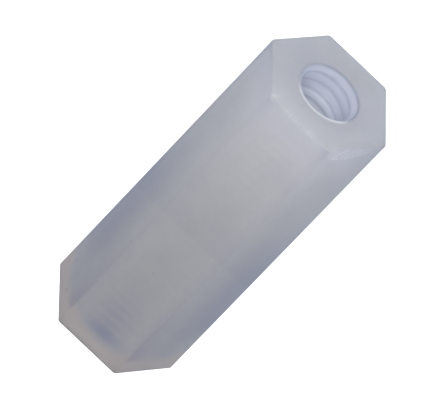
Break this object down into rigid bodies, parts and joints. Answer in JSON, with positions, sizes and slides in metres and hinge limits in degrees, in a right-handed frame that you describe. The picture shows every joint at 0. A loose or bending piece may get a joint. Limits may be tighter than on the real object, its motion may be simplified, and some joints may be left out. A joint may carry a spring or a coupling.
{
  "type": "hex standoff",
  "caption": "Short hexagonal spacer post in translucent natural nylon, with a blind threaded hole in each end.",
  "frame": {"origin": "centre of the lower end face, the one that the part stands on", "axes": "+Z along the axis to the upper end face; +Y square to one flat, so two flats face -Y and +Y; +X through a long corner"},
  "size_m": [0.0062, 0.0054, 0.0165],
  "materials": {
    "natural_nylon": "milky translucent natural nylon with a soft satin surface, cool grey-white"
  },
  "bodies": {
    "root": {"standoff_body": "natural_nylon"}
  },
  "joints": []
}
